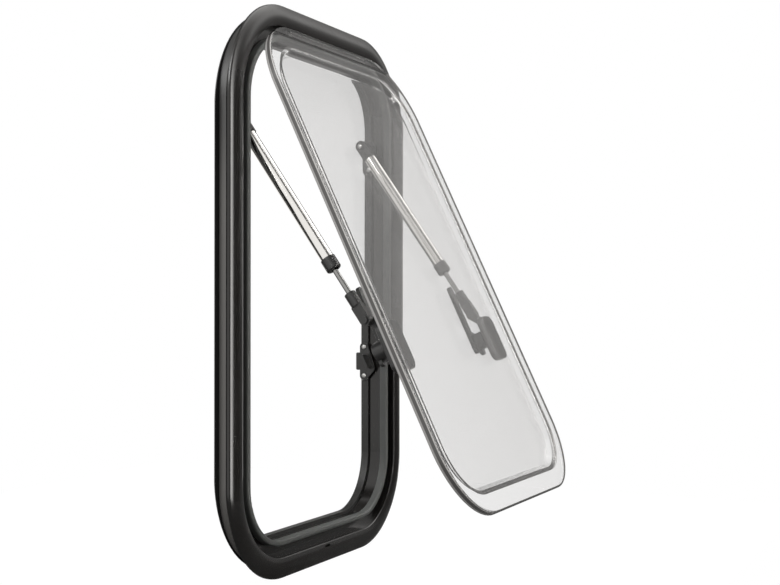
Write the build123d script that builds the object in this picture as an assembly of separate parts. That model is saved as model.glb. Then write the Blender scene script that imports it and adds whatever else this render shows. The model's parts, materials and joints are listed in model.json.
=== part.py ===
"""Top-hung caravan window: a black framed opening with a double acrylic sash pushed open on two stays.

X runs across the window, Y goes from the outside into the vehicle and Z is up. Y = 0 is the outside
skin of the wall, where the frame's flange lies, and the origin is at the middle of the window.
The sash pieces are drawn closed and then swung out to the open position.
"""
import os
from math import atan2, cos, degrees, radians, sin, tan

from build123d import *

# Outline of the frame, seen square on
frame_width = 460.0
frame_height = 700.0
frame_corner = 122.0

# Section of the outer frame: insets are measured in from its outer edge, depths from the wall skin
bead_width = 26.0
bead_edge = 3.0
bead_crown = 8.2
bead_lip = 6.0
bead_edge_round = 3.0
bead_lip_round = 1.6
frame_wall = 2.0
gutter_width = 16.0
gutter_depth = 7.0
seal_leg = 7.0
sleeve_depth = 24.0

# Drain slot through the lower bead
drain_length = 14.0
drain_width = 3.0
drain_inset = 21.5

# Clamp ring on the inside of the wall
wall_thickness = 21.0
cutout_inset = 15.0
cutout_clearance = 0.6
ring_overlap = 7.5
ring_corner = 130.0
ring_flat = 7.5
ring_edge = 1.2
ring_edge_round = 0.4
ring_swell = 2.0
ring_rear = 36.0
ring_lip = 4.0
ring_round = 2.5
ring_clearance = 0.3
collar_wall = 2.0
collar_reach = 9.7

# Rubber seal pushed over the front edge of the sleeve
seal_side = 2.6
seal_front = 4.2
seal_root = 1.0
seal_clearance = 0.1

# Sash outline and sheets
sash_gap = 7.5
sash_stand = 0.4
outer_sheet = 5.0
inner_sheet = 3.5
inner_flange = 4.0
sash_edge_round = 1.2
flange_side = 20.0
flange_top = 29.0
flange_bottom = 26.0
dish_depth = 8.0
dish_draft = 40.0
dish_corner = 62.0
open_angle = 25.5

# Hinge along the top of the sash
strip_height = 13.0
strip_line = 0.5
hinge_drop = 0.5
hinge_setback = 2.5
knuckle_radius = 3.0
hinge_clearance = 0.2
rail_wall = 2.0
rail_mouth = 140.0
rail_end_gap = 3.0
knuckle_end_gap = 1.0
neck_thickness = 2.4
rail_foot = 6.0

# Stays: places of their pivots and the pieces along them
stay_gap = 24.0
stay_top_depth = 27.0
stay_top_drop = 145.0
stay_foot_drop = 375.4
stay_foot_depth = 35.9
eye_width = 10.0
pivot_radius = 3.0
pivot_clearance = 0.1
pivot_head = 1.5
head_radius = 8.0
tube_radius = 8.1
tube_wall = 1.0
tube_start = 22.0
tube_end = 214.0
plug_end = 33.0
plug_clearance = 0.1
cap_radius = 9.2
cap_end = 221.0
cap_length = 16.0
cap_round = 2.0
rod_radius = 3.3
rod_reach = 176.0
rod_clearance = 0.4
rod_sway = 2.7
clevis_radius = 7.0
clevis_start = 19.6
clevis_end = 37.5
clevis_socket = 16.0
clevis_round = 0.8
foot_eye_radius = 6.6

# Brackets that carry the stays on the clamp ring
bracket_thickness = 3.0
bracket_radius = 10.0
bracket_foot_drop = 31.0
bracket_hole = 2.2

# Latch bases on the inner sheet
latch_gap = 8.0
latch_drop = 414.0
base_drop = 416.5
base_width = 36.0
base_length = 62.0
base_thickness = 10.0
base_corner = 11.0
base_round = 2.0
base_bevel = 0.8
lug_thickness = 4.0
lug_gap = 1.0
lug_radius = 6.0
lug_root_drop = 21.0

# Latch levers
spigot_radius = 4.0
spigot_length = 5.0
lever_lift = 12.5
lever_thickness = 5.0
lever_offset = 19.0
lever_half_width = 5.0
lever_length = 83.0
lever_tail = 15.0
lever_root = 12.0
hub_radius = 11.0
hub_corner = 5.0
hub_inset = 14.0
nose_reach = 18.0
nose_radius = 5.0
lever_round = 1.2
lever_gap = 0.3

# Catches on the clamp ring
catch_thickness = 3.0
catch_pitch = 41.0
catch_end_radius = 6.5
catch_screw_depth = 29.5
catch_hole = 2.2
catch_ear_depth = 19.5
catch_ear_drop = 10.0
catch_tab_reach = 6.0
catch_tab_length = 25.0
catch_tab_corner = 2.0
hook_reach = 16.0
hook_width = 4.0
hook_length = 22.0
hook_tilt = 25.0
hook_gap = 0.4

# Places that follow from the sizes above
half_width = frame_width / 2
half_height = frame_height / 2
sleeve_inset = bead_width + gutter_width
reveal_inset = sleeve_inset + frame_wall
seal_tip = gutter_depth - seal_leg - seal_front
sash_inset = bead_width + sash_gap
rim_thickness = outer_sheet + inner_flange
rim_rear = seal_tip - sash_stand
sash_front = rim_rear - rim_thickness
dish_rear = rim_rear + dish_depth
sash_half_width = half_width - sash_inset
sash_half_height = half_height - sash_inset
hinge_y = rim_rear + hinge_setback
hinge_z = sash_half_height - hinge_drop
lining_inset = reveal_inset + ring_lip
lining_x = half_width - lining_inset
stay_x = lining_x - stay_gap
latch_x = stay_x - latch_gap
stay_top = (stay_top_depth, half_height - stay_top_drop)
stay_foot_closed = (sash_front + stay_foot_depth, hinge_z - stay_foot_drop)
latch_z = hinge_z - latch_drop
base_rear = dish_rear + base_thickness
lever_front = base_rear + lever_lift
lever_rear = lever_front + lever_thickness
rail_half_length = half_width - frame_corner - rail_end_gap


def swing_open(y, z):
    """Turn a point of the closed sash about the hinge to the open position."""
    turn = radians(open_angle)
    dy = y - hinge_y
    dz = z - hinge_z
    return hinge_y + dy * cos(turn) + dz * sin(turn), hinge_z - dy * sin(turn) + dz * cos(turn)


stay_foot = swing_open(*stay_foot_closed)
stay_lean = degrees(atan2(stay_top[0] - stay_foot[0], stay_top[1] - stay_foot[1]))
hinge_axis = Axis((0, hinge_y, hinge_z), (1, 0, 0))


def outline(inset):
    """Rounded rectangle parallel to the frame's outer edge, on the X and Z axes."""
    return RectangleRounded(frame_width - 2 * inset, frame_height - 2 * inset, frame_corner - inset)


def slab(sketch, front, rear):
    """Flat piece with its outline facing out, between two depths."""
    return extrude(Plane.XZ.offset(-rear) * sketch, amount=rear - front)


def side_plate(sketch, start, end):
    """Flat piece lying against a stile, between two distances from the middle of the window."""
    return extrude(Plane.YZ.offset(start) * sketch, amount=end - start)


def cross_pin(place, radius, start, end):
    """Round pin along X at a depth and height."""
    return side_plate(Pos(*place) * Circle(radius), start, end)


def hull(*discs):
    """Outline drawn tight round several discs, each given as (x, y, radius)."""
    edges = Sketch()
    for x, y, radius in discs:
        edges += Pos(x, y) * Circle(radius)
    return make_hull(edges.edges())


def stile_section(*points):
    """Places an inset and a depth on the section through the right-hand stile."""
    return [(half_width - inset, depth) for inset, depth in points]


def round_corner(section, inset, depth, radius):
    """Round the corner of a stile section that lies at this inset and depth."""
    corner = section.vertices().sort_by_distance((half_width - inset, depth, 0))[0]
    return fillet(corner, radius)


def carried_round(section):
    """Carry a section of the right-hand stile round the whole frame."""
    corner_x = half_width - frame_corner
    corner_z = half_height - frame_corner
    turn = Axis((corner_x, 0, corner_z), (0, -1, 0))
    stile = extrude(section, amount=corner_z, dir=(0, 0, 1))
    stile_top = Pos(0, 0, corner_z) * section
    corner = revolve(stile_top, turn, 90)
    head = extrude(stile_top.rotate(turn, 90), amount=corner_x, dir=(-1, 0, 0))
    quarter = stile + corner + head
    half = quarter + mirror(quarter, about=Plane.YZ)
    return half + mirror(half, about=Plane.XY)


def make_outer_frame():
    """Bent extrusion: crowned bead, gutter, upstanding leg for the seal, and the sleeve."""
    back = gutter_depth + frame_wall
    arc = ((0, -bead_edge), (bead_width / 2, -bead_crown), (bead_width, -bead_lip))
    outer, crest, lip = stile_section(*arc)
    walls = stile_section(
        (bead_width, -bead_lip),
        (bead_width, gutter_depth),
        (sleeve_inset, gutter_depth),
        (sleeve_inset, gutter_depth - seal_leg),
        (reveal_inset, gutter_depth - seal_leg),
        (reveal_inset, sleeve_depth),
        (sleeve_inset, sleeve_depth),
        (sleeve_inset, back),
        (bead_width - frame_wall, back),
        (bead_width - frame_wall, 0),
        (0, 0),
        (0, -bead_edge),
    )
    section = make_face(ThreePointArc(outer, crest, lip) + Polyline(*walls))
    section = round_corner(section, 0, -bead_edge, bead_edge_round)
    section = round_corner(section, bead_width, -bead_lip, bead_lip_round)
    ring = carried_round(section)
    slot = SlotOverall(drain_length, drain_width)
    return ring - slab(Pos(0, drain_inset - half_height) * slot, -2 * bead_crown, -bead_edge)


def make_clamp_ring():
    """Moulded ring: a flat rim and swelling cover inside the wall, a collar in the cut-out, a lining."""
    rim_inset = cutout_inset - ring_overlap
    collar = cutout_inset + cutout_clearance
    collar_front = wall_thickness - collar_reach
    beside_sleeve = sleeve_inset - ring_clearance
    behind_sleeve = sleeve_depth + ring_clearance
    crest_inset = reveal_inset
    swell_inset = rim_inset + ring_flat
    rim_rear_depth = wall_thickness + ring_edge
    points = stile_section(
        (crest_inset, ring_rear),
        (lining_inset, ring_rear),
        (lining_inset, behind_sleeve),
        (beside_sleeve, behind_sleeve),
        (beside_sleeve, wall_thickness),
        (collar + collar_wall, wall_thickness),
        (collar + collar_wall, collar_front),
        (collar, collar_front),
        (collar, wall_thickness),
        (rim_inset, wall_thickness),
        (rim_inset, rim_rear_depth),
        (swell_inset, rim_rear_depth),
    )
    middle_inset = (swell_inset + crest_inset) / 2
    middle_depth = (rim_rear_depth + ring_rear) / 2 + ring_swell
    swell = ThreePointArc(points[-1], *stile_section((middle_inset, middle_depth)), points[0])
    section = make_face(Polyline(*points) + swell)
    section = round_corner(section, lining_inset, ring_rear, ring_round)
    section = round_corner(section, rim_inset, rim_rear_depth, ring_edge_round)
    rim = RectangleRounded(frame_width - 2 * rim_inset, frame_height - 2 * rim_inset, ring_corner)
    return carried_round(section) & slab(rim, 0, 2 * ring_rear)


def make_seal():
    """Rubber profile: a grooved foot on the sleeve's front leg and a rounded bulb that meets the sash."""
    outside = sleeve_inset - seal_side
    inside = reveal_inset + seal_side
    leg_top = gutter_depth - seal_leg
    foot = gutter_depth - seal_root
    body = stile_section((outside, foot), (outside, seal_tip), (inside, seal_tip), (inside, foot))
    groove = stile_section(
        (sleeve_inset - seal_clearance, foot),
        (sleeve_inset - seal_clearance, leg_top - seal_clearance),
        (reveal_inset + seal_clearance, leg_top - seal_clearance),
        (reveal_inset + seal_clearance, foot),
    )
    section = make_face(Polyline(*body, close=True))
    for inset in (outside, inside):
        section = round_corner(section, inset, seal_tip, seal_side)
    return carried_round(section - make_face(Polyline(*groove, close=True)))


def make_hinge_rail():
    """Channel under the upper bead: an open round bore on a foot that stands on the gutter floor."""
    bore = knuckle_radius + hinge_clearance
    outside = bore + rail_wall
    reach = 2 * outside
    spread = reach * tan(radians(rail_mouth / 2))
    mouth = make_face(Polyline((0, 0), (-reach, spread), (-reach, -spread), close=True))
    foot_depth = gutter_depth - hinge_y
    foot = Pos(foot_depth / 2, 0) * Rectangle(foot_depth, rail_foot)
    section = Circle(outside) + foot - Circle(bore) - mouth
    return side_plate(Pos(hinge_y, hinge_z) * section, -rail_half_length, rail_half_length)


def sash_part(below, above):
    """Part of the sash outline between two heights."""
    band = Pos(0, (below + above) / 2) * Rectangle(frame_width, above - below)
    return outline(sash_inset) & band


strip_foot = sash_half_height - strip_height


def make_hinge_strip():
    """Strip that closes the top of the sash, with the knuckle that turns in the rail."""
    strip = slab(sash_part(strip_foot + strip_line, half_height), sash_front, rim_rear)
    neck_depth = hinge_y - rim_rear
    neck = Pos(rim_rear + neck_depth / 2, hinge_z - neck_thickness / 2 + hinge_drop)
    knuckle_section = Pos(hinge_y, hinge_z) * Circle(knuckle_radius) + neck * Rectangle(
        neck_depth, neck_thickness
    )
    half_length = rail_half_length - knuckle_end_gap
    return strip + side_plate(knuckle_section, -half_length, half_length)


def make_outer_pane():
    """Flat outer acrylic sheet with its front edge eased."""
    sheet = slab(sash_part(-half_height, strip_foot), sash_front, sash_front + outer_sheet)
    front = sheet.faces().sort_by(Axis.Y)[0]
    rim = front.edges().filter_by(lambda edge: edge.center().Z < strip_foot - 1)
    return chamfer(rim, sash_edge_round)


def dish(depth, spread):
    """Tapered body of the inner sheet, starting at a depth and grown by a spread on every side."""
    width = 2 * (sash_half_width - flange_side + spread)
    height = 2 * sash_half_height - flange_top - flange_bottom + 2 * spread
    middle = (flange_bottom - flange_top) / 2
    base = Plane((0, depth, 0), x_dir=(1, 0, 0), z_dir=(0, 1, 0))
    return base * Pos(0, -middle) * RectangleRounded(width, height, dish_corner + spread)


def make_inner_pane():
    """Vacuum-formed inner sheet: a flange bonded to the outer sheet round a sloped dish."""
    flange_front = sash_front + outer_sheet
    slope = tan(radians(dish_draft))
    flange = slab(sash_part(-half_height, strip_foot), flange_front, rim_rear)
    body = extrude(dish(rim_rear, 0), amount=dish_depth, taper=dish_draft)
    inset = inner_sheet / cos(radians(dish_draft))
    hollow_spread = inner_flange * slope - inset
    hollow_depth = rim_thickness - outer_sheet + dish_depth - inner_sheet
    hollow = extrude(dish(flange_front, hollow_spread), amount=hollow_depth, taper=dish_draft)
    return flange + body - hollow


def make_latch_base():
    """Pad bonded to the dish, with the lever's socket and an arm whose pin carries the stay."""
    middle_z = hinge_z - base_drop
    pad_outline = Pos(latch_x, middle_z) * RectangleRounded(base_width, base_length, base_corner)
    pad = slab(pad_outline, dish_rear, base_rear)
    pad = fillet(pad.faces().sort_by(Axis.Y)[-1].edges(), base_round)
    pad = chamfer(pad.faces().sort_by(Axis.Y)[0].edges(), base_bevel)
    socket = spigot_radius + pivot_clearance
    pad -= slab(Pos(latch_x, latch_z) * Circle(socket), base_rear - spigot_length, 2 * base_rear)
    foot_y, foot_z = stay_foot_closed
    lug_end = stay_x - eye_width / 2 - lug_gap
    root = (dish_rear + base_thickness / 2, foot_z - lug_root_drop, base_thickness / 2 - base_bevel)
    lug = side_plate(hull((foot_y, foot_z, lug_radius), root), lug_end - lug_thickness, lug_end)
    eye_side = stay_x + eye_width / 2 + lug_gap
    pin = cross_pin(stay_foot_closed, pivot_radius, lug_end, eye_side)
    head = cross_pin(stay_foot_closed, pivot_radius + pivot_head, eye_side, eye_side + pivot_head)
    return pad + lug + pin + head


def make_lever():
    """Hand lever: a hub on the pad, a bar up beside it for the hand, and a nose down for the catch."""
    bar_x = latch_x - lever_offset
    tail = (bar_x, latch_z - lever_tail + lever_half_width, lever_half_width)
    tip = (bar_x, latch_z + lever_length - lever_half_width, lever_half_width)
    root = (bar_x, latch_z + lever_root, lever_half_width)
    hub = (latch_x, latch_z, hub_radius)
    blade_outline = hull(tail, tip) + hull(tail, root, hub)
    nose = (latch_x, latch_z - nose_reach + nose_radius, nose_radius)
    blade_outline += hull((latch_x, latch_z, nose_radius), nose)
    blade = slab(blade_outline, lever_front, lever_rear)
    blade = fillet(blade.faces().sort_by(Axis.Y)[-1].edges(), lever_round)
    block_z = hub_radius - hub_corner
    block_outline = hull(
        hub,
        (latch_x - hub_inset, latch_z - block_z, hub_corner),
        (latch_x - hub_inset, latch_z + block_z, hub_corner),
    )
    block = slab(block_outline, base_rear + lever_gap, lever_front)
    spigot = slab(
        Pos(latch_x, latch_z) * Circle(spigot_radius),
        base_rear - spigot_length + lever_gap,
        base_rear + lever_gap,
    )
    return blade + block + spigot


def make_stay_bracket():
    """Plate screwed to the clamp ring, with the boss and pin for the head of the stay."""
    top_y, top_z = stay_top
    foot = (top_y, top_z - bracket_foot_drop)
    face = lining_x - bracket_thickness
    plate = side_plate(hull((*foot, bracket_radius), (*stay_top, bracket_radius)), face, lining_x)
    plate -= cross_pin(foot, bracket_hole, face, lining_x)
    tip = stay_x - eye_width / 2 - lug_gap
    eye_side = stay_x + eye_width / 2 + lug_gap
    boss = cross_pin(stay_top, head_radius, eye_side, face)
    pin = cross_pin(stay_top, pivot_radius, tip, eye_side)
    head = cross_pin(stay_top, pivot_radius + pivot_head, tip - pivot_head, tip)
    return plate + boss + pin + head


def make_catch():
    """Plate screwed to the clamp ring, with a slanted hook that the lever's nose turns in behind."""
    face = lining_x - catch_thickness
    screws = [(catch_screw_depth, latch_z + side * catch_pitch / 2) for side in (-1, 1)]
    plate_outline = hull(
        *[(*screw, catch_end_radius) for screw in screws],
        (catch_ear_depth, latch_z - catch_ear_drop, catch_end_radius),
    )
    plate_outline += Pos(catch_screw_depth + catch_end_radius, latch_z) * RectangleRounded(
        2 * catch_tab_reach, catch_tab_length, catch_tab_corner
    )
    plate = side_plate(plate_outline, face, lining_x)
    for screw in screws:
        plate -= cross_pin(screw, catch_hole, face, lining_x)
    tilt = radians(hook_tilt)
    touch_y = lever_front - hook_gap
    middle_y = touch_y - nose_radius * tan(tilt) - hook_width / 2 / cos(tilt)
    hook_outline = Pos(middle_y, latch_z) * SlotOverall(hook_length, hook_width, rotation=90 - hook_tilt)
    return plate + side_plate(hook_outline, face - hook_reach, face)


def hang(piece):
    """Take a piece drawn hanging straight down from the origin to its place on the open stay."""
    return Pos(stay_x, *stay_top) * Rot(-stay_lean, 0, 0) * piece


def stand(piece):
    """Take a piece drawn standing straight up from the origin to its place on the stay's foot."""
    return Pos(stay_x, *stay_foot) * Rot(-stay_lean, 0, 0) * piece


def rod_length(start, end, radius):
    """Round bar along Z between two heights."""
    return Pos(0, 0, min(start, end)) * Cylinder(
        radius, abs(end - start), align=(Align.CENTER, Align.CENTER, Align.MIN)
    )


def eye(radius, shank):
    """Flat eye round the X axis through the origin, with a shank of its own width along Z."""
    body = Circle(radius) + Pos(0, shank / 2) * Rectangle(2 * radius, abs(shank))
    return side_plate(body - Circle(pivot_radius + pivot_clearance), -eye_width / 2, eye_width / 2)


def make_stay_head():
    """Flat eye at the upper end of the stay, shouldered on the tube, with its plug inside."""
    plug = rod_length(-plug_end, -tube_start, tube_radius - tube_wall - plug_clearance)
    return hang(eye(head_radius, -tube_start) + plug)


def make_stay_tube():
    """Bright tube of the stay."""
    return hang(
        rod_length(-tube_end, -tube_start, tube_radius)
        - rod_length(-tube_end, -tube_start, tube_radius - tube_wall)
    )


def make_stay_cap():
    """Moulded cap on the tube's lower end, with a slot in which the rod can sway as it slides."""
    body = rod_length(-cap_end, -cap_end + cap_length, cap_radius)
    body = fillet(body.edges().filter_by(GeomType.CIRCLE).sort_by(Axis.Z)[0], cap_round)
    body -= rod_length(-tube_end, -cap_end + cap_length, tube_radius + plug_clearance)
    slot_radius = rod_radius + rod_clearance
    slot = hull((0, 0, slot_radius), (0, -rod_sway, slot_radius))
    return hang(body - Pos(0, 0, -cap_end) * extrude(slot, amount=cap_length))


def make_stay_rod():
    """Steel rod that slides in the tube."""
    return stand(rod_length(clevis_end - clevis_socket, rod_reach, rod_radius))


def make_stay_clevis():
    """Moulded foot of the stay: a round barrel on the rod and an eye on the latch base's pin."""
    barrel = rod_length(clevis_start, clevis_end, clevis_radius)
    barrel = fillet(barrel.edges().filter_by(GeomType.CIRCLE), clevis_round)
    body = barrel + eye(foot_eye_radius, clevis_start + clevis_round)
    return stand(body - rod_length(clevis_end - clevis_socket, clevis_end, rod_radius))


def swung(piece):
    """Swing a piece of the closed sash to the open position."""
    return piece.rotate(hinge_axis, -open_angle)


parts = {
    "outer_frame": make_outer_frame(),
    "clamp_ring": make_clamp_ring(),
    "seal": make_seal(),
    "hinge_rail": make_hinge_rail(),
    "hinge_strip": swung(make_hinge_strip()),
    "outer_pane": swung(make_outer_pane()),
    "inner_pane": swung(make_inner_pane()),
}
paired = {
    "latch_base": swung(make_latch_base()),
    "lever": swung(make_lever()),
    "stay_bracket": make_stay_bracket(),
    "catch": make_catch(),
    "stay_head": make_stay_head(),
    "stay_tube": make_stay_tube(),
    "stay_cap": make_stay_cap(),
    "stay_rod": make_stay_rod(),
    "stay_clevis": make_stay_clevis(),
}
for name, piece in paired.items():
    parts[name + "_right"] = piece
    parts[name + "_left"] = mirror(piece, about=Plane.YZ)

os.makedirs("parts", exist_ok=True)
for name, piece in parts.items():
    export_step(piece, f"parts/{name}.step")
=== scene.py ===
"""Looks of a top-hung caravan window: black frame, smoked double sash, bright stays and moulded latches.

Metres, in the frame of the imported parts: X runs across the window, Y goes into the vehicle and Z is up.
"""
import json
import logging
import math
from dataclasses import dataclass
from enum import Enum
from typing import Any, Callable, Sequence

import bmesh
import bpy
from mathutils import Matrix, Vector


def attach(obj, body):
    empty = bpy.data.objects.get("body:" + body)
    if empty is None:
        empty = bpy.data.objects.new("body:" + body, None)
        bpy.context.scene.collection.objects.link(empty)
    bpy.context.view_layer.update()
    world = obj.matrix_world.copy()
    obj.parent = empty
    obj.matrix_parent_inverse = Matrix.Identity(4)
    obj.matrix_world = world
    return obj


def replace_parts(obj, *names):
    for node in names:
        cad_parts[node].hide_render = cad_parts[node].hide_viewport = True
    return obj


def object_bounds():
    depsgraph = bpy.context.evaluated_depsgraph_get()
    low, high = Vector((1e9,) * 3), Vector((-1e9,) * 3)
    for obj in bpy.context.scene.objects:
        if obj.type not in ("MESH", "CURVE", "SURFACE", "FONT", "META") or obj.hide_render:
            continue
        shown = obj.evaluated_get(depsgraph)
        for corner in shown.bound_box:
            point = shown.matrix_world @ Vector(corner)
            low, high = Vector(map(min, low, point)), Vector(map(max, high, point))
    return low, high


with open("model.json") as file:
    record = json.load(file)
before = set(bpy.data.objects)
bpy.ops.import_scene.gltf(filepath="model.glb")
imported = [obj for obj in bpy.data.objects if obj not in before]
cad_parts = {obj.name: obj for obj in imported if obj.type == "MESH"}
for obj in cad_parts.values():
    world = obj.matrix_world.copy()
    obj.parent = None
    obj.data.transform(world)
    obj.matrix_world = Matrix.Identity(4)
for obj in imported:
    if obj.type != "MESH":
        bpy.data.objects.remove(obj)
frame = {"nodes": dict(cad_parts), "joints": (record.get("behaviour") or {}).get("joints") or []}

CAD_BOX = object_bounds()
MM = 0.001
LOG = logging.getLogger("caravan_window")
# Face attribute that carries the painted shade of the sash's bend and front edge.
PAINTED_SHADE_MARK = "bend_shade"
SHARP_EDGE = math.radians(32)

Colour = tuple[float, float, float]
Number = float | int


class Side(Enum):
    """The two sides of the window, as seen from outside."""

    LEFT = "left"
    RIGHT = "right"

    @property
    def sign(self) -> int:
        """Direction of this side along X."""
        return -1 if self is Side.LEFT else 1


class Wire:
    """An output of a shader tree, on which plain arithmetic adds Math nodes."""

    def __init__(self, paint: "Paint", socket: bpy.types.NodeSocket) -> None:
        """Keep the socket with the paint that it belongs to."""
        self.paint = paint
        self.socket = socket

    def maths(self, operation: str, first: "Wire | Number", second: "Wire | Number") -> "Wire":
        """Add a Math node that works on two values, and give its output."""
        node = self.paint.node("ShaderNodeMath", {"operation": operation}, {0: first, 1: second})
        return Wire(self.paint, node.outputs[0])

    def __add__(self, other: "Wire | Number") -> "Wire":
        """Sum."""
        return self.maths("ADD", self, other)

    __radd__ = __add__

    def __sub__(self, other: "Wire | Number") -> "Wire":
        """Difference."""
        return self.maths("SUBTRACT", self, other)

    def __rsub__(self, other: "Wire | Number") -> "Wire":
        """Difference from a number."""
        return self.maths("SUBTRACT", other, self)

    def __mul__(self, other: "Wire | Number") -> "Wire":
        """Product."""
        return self.maths("MULTIPLY", self, other)

    __rmul__ = __mul__

    def __truediv__(self, other: "Wire | Number") -> "Wire":
        """Quotient."""
        return self.maths("DIVIDE", self, other)

    def size(self) -> "Wire":
        """This value without its sign."""
        return self.maths("ABSOLUTE", self, 0.0)

    def at_least(self, other: "Wire | Number") -> "Wire":
        """The larger of two values."""
        return self.maths("MAXIMUM", self, other)

    def power(self, exponent: Number) -> "Wire":
        """This value raised to an exponent."""
        return self.maths("POWER", self, exponent)


class Paint:
    """A node tree under construction, of a material or of the world."""

    def __init__(self, owner: bpy.types.Material | bpy.types.World) -> None:
        """Start an empty tree on its owner."""
        owner.use_nodes = True
        self.tree = owner.node_tree
        self.tree.nodes.clear()

    def node(
        self,
        kind: str,
        settings: dict[str, Any] | None = None,
        sockets: dict[str | int, Any] | None = None,
    ) -> bpy.types.Node:
        """Add a node of any kind.

        Args:
            kind: Blender's name of the node type.
            settings: the node's own settings, set before its sockets.
            sockets: values or wires of its inputs, by name or place.

        Returns:
            The new node.
        """
        made = self.tree.nodes.new(kind)
        for name, value in (settings or {}).items():
            setattr(made, name, value)
        for name, value in (sockets or {}).items():
            if isinstance(value, Wire):
                self.tree.links.new(value.socket, made.inputs[name])
            else:
                made.inputs[name].default_value = value
        return made

    def wire(self, node: bpy.types.Node, output: str | int = 0) -> Wire:
        """One output of a node, ready for arithmetic."""
        return Wire(self, node.outputs[output])

    def place(self, scale: Sequence[float] = (1, 1, 1), turn: Sequence[float] = (0, 0, 0)) -> Wire:
        """Object coordinates, turned and then stretched.

        Args:
            scale: stretch along each axis.
            turn: turn about each axis, in radians.

        Returns:
            The coordinates.
        """
        coordinates = self.node("ShaderNodeTexCoord")
        mapping = self.node(
            "ShaderNodeMapping",
            {"vector_type": "TEXTURE"},
            {
                "Vector": self.wire(coordinates, "Object"),
                "Rotation": turn,
                "Scale": [1 / value for value in scale],
            },
        )
        return self.wire(mapping)

    def noise(self, size: float, where: Wire, detail: float = 2.0, roughness: float = 0.5) -> Wire:
        """Smooth noise from 0 to 1, whose blotches have a size in metres."""
        texture = self.node(
            "ShaderNodeTexNoise",
            None,
            {"Vector": where, "Scale": 1 / size, "Detail": detail, "Roughness": roughness},
        )
        return self.wire(texture, 0)

    def blend(self, share: Wire, low: "Wire | Colour", high: "Wire | Colour") -> Wire:
        """A colour between two, by a share.

        Args:
            share: 0 for the low colour and 1 for the high one.
            low: the first colour.
            high: the second colour.

        Returns:
            The mixed colour.
        """
        ends = [end if isinstance(end, Wire) else (*end, 1.0) for end in (low, high)]
        mix = self.node("ShaderNodeMix", {"data_type": "RGBA"}, {"Factor": share, 6: ends[0], 7: ends[1]})
        return Wire(self, mix.outputs[2])

    def along(self, direction: Wire, axis: Sequence[float]) -> Wire:
        """How far a direction runs along an axis, from -1 to 1."""
        dot = self.node("ShaderNodeVectorMath", {"operation": "DOT_PRODUCT"}, {0: direction, 1: axis})
        return self.wire(dot, "Value")

    def ramp(self, value: Wire, start: float, end: float) -> Wire:
        """Smooth rise from 0 to 1.

        Args:
            value: what it follows.
            start: the value where it leaves 0.
            end: the value where it reaches 1; it may lie below the start.

        Returns:
            The rise.
        """
        low, high = min(start, end), max(start, end)
        rise = self.node(
            "ShaderNodeMapRange",
            {"interpolation_type": "SMOOTHSTEP"},
            {"Value": value, "From Min": low, "From Max": high},
        )
        return self.wire(rise) if end > start else 1.0 - self.wire(rise)

    def bump(self, height: Wire, depth: float) -> Wire:
        """Normals disturbed by a height from 0 to 1, whose real depth is in metres."""
        bump = self.node("ShaderNodeBump", None, {"Height": height, "Distance": depth, "Strength": 1.0})
        return self.wire(bump)

    def finish(self, surface: Wire, volume: Wire | None = None) -> None:
        """Wire the shaders to the output."""
        output = self.node("ShaderNodeOutputMaterial", None, {"Surface": surface})
        if volume is not None:
            self.tree.links.new(volume.socket, output.inputs["Volume"])


def scaled(colour: Colour, factor: float) -> Colour:
    """A colour made lighter or darker by a factor."""
    return tuple(min(1.0, part * factor) for part in colour)


@dataclass(frozen=True)
class BlackFinish:
    """Black coated or moulded surface with a fine skin, uneven gloss and faint tone drift."""

    name: str
    colour: Colour
    roughness: float
    gloss_drift: float
    tone_drift: float
    grain: float
    grain_depth: float
    drift_size: float = 90 * MM
    smears_per_drift: float = 6.0
    smear_stretch: float = 0.25
    skin_share: float = 0.3
    index: float = 1.5

    def tint(self, paint: Paint, shade: Wire) -> Wire:
        """The colour over the whole piece; one colour as a rule."""
        return shade

    def wear(self, paint: Paint) -> Wire | float:
        """Roughness that use has added; none as a rule."""
        return 0.0

    def material(self) -> bpy.types.Material:
        """Build the material.

        Returns:
            The new material.
        """
        made = bpy.data.materials.new(self.name)
        paint = Paint(made)
        where = paint.place()
        drift = paint.noise(self.drift_size, where, detail=3.0)
        upright = paint.place(scale=(1, 1, self.smear_stretch))
        smears = paint.noise(self.drift_size / self.smears_per_drift, upright, detail=4.0, roughness=0.6)
        skin = paint.noise(self.grain, where, detail=2.0, roughness=0.6)
        shade = paint.blend(
            drift * (1 - self.skin_share) + skin * self.skin_share,
            scaled(self.colour, 1 - self.tone_drift),
            scaled(self.colour, 1 + self.tone_drift),
        )
        gloss = (drift - 0.5) * self.gloss_drift + (smears - 0.5) * self.gloss_drift + self.roughness
        gloss = gloss + self.wear(paint)
        shader = paint.node(
            "ShaderNodeBsdfPrincipled",
            None,
            {
                "Base Color": self.tint(paint, shade),
                "Roughness": gloss,
                "IOR": self.index,
                "Normal": paint.bump(skin, self.grain_depth),
            },
        )
        paint.finish(paint.wire(shader))
        return made


@dataclass(frozen=True)
class WeatheredFinish(BlackFinish):
    """Black coat that is duller along the top than below."""

    dulling: float = 0.2
    dull_from: float = 200 * MM
    dull_to: float = 290 * MM

    def wear(self, paint: Paint) -> Wire:
        """Dull the coat towards the top."""
        split = paint.node("ShaderNodeSeparateXYZ", None, {"Vector": paint.place()})
        return paint.ramp(paint.wire(split, "Z"), self.dull_from, self.dull_to) * self.dulling


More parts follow.
